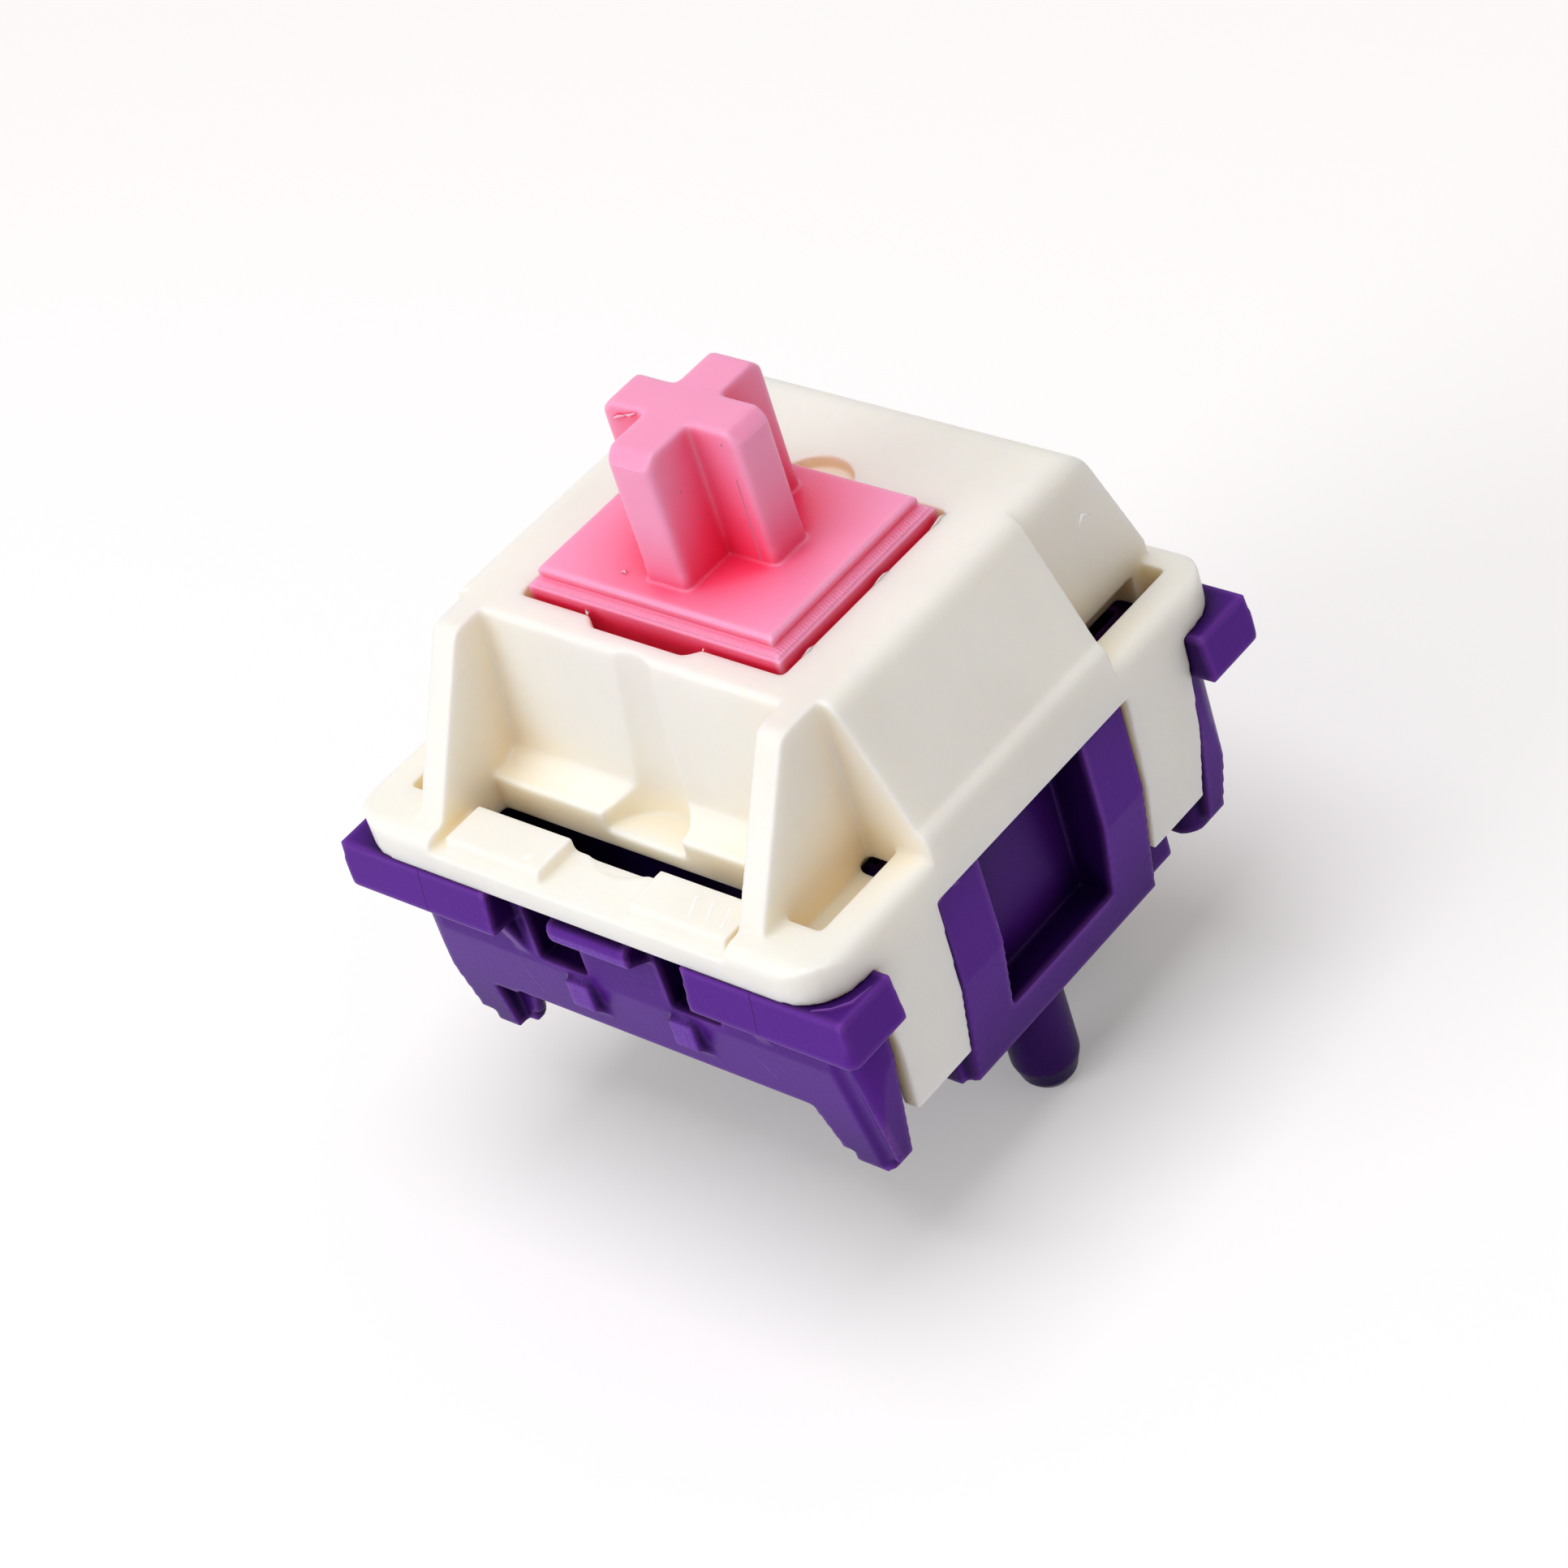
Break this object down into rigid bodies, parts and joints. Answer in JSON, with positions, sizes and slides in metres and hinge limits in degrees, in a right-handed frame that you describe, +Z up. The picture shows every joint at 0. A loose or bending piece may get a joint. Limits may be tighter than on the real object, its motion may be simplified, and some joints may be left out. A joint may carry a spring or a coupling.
{
  "type": "mechanical keyboard switch",
  "caption": "Plate-mounted keyboard switch with a cross stem for a keycap, two snapped shells, a coil spring, leaf contacts and terminals for a circuit board.",
  "frame": {"origin": "axis of the centre post at the level of the circuit board's top face", "axes": "+Z up along the stem's travel, -Y towards the light slot, +X to the right seen from the slot's side"},
  "size_m": [0.0156, 0.0156, 0.0187],
  "materials": {
    "cream_plastic": "satin",
    "purple_plastic": "satin",
    "pink_plastic": "satin",
    "spring_steel": "bright",
    "contact_alloy": "satin",
    "contact_gold": "bright"
  },
  "bodies": {
    "housing": {"upper_housing": "cream_plastic", "lower_housing": "purple_plastic", "return_spring": "spring_steel", "fixed_contact": "contact_alloy", "moving_contact": "contact_alloy", "fixed_contact_point": "contact_gold", "moving_contact_point": "contact_gold"},
    "slider": {"stem": "pink_plastic"}
  },
  "joints": [
    {"name": "stem_press", "type": "slide", "parent": "housing", "child": "slider", "axis": [0, 0, -1], "range_m": [0, 0.004], "stiffness_N_per_m": 55, "springref_m": -0.004, "deforming": ["return_spring"]}
  ]
}
